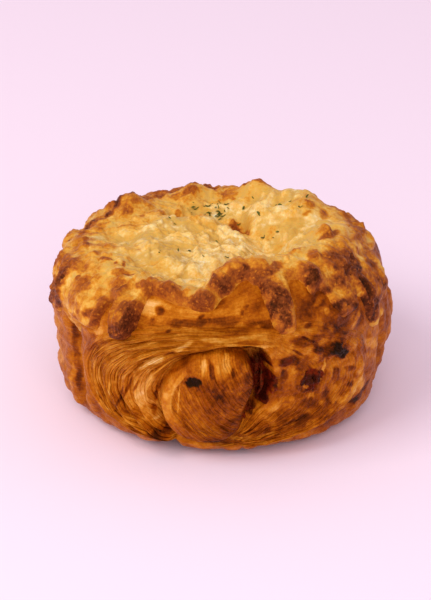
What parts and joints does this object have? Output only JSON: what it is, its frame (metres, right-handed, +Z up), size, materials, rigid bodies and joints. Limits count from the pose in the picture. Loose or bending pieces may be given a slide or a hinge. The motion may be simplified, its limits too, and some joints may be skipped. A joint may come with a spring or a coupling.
{
  "type": "pizza croissant",
  "caption": "Round bun of rolled croissant dough with layered swirl ends, tomato filling and a sunken top of melted, browned cheese that runs over the rim.",
  "frame": {"origin": "middle of the flat underside that the bun rests on, under the middle of its outline", "axes": "+Z up, the shortest way through the bun; -Y points out of the front swirl end of the roll; +X is right when the front is seen"},
  "size_m": [0.1073, 0.1106, 0.0618],
  "materials": {
    "pastry": "baked dough, satin where the crust is smooth",
    "cheese": "melted cheese, satin, browned on its knobs",
    "tomato_filling": "moist baked tomato"
  },
  "bodies": {
    "root": {"pastry": "pastry", "cheese": "cheese", "tomato_filling": "tomato_filling"}
  },
  "joints": []
}
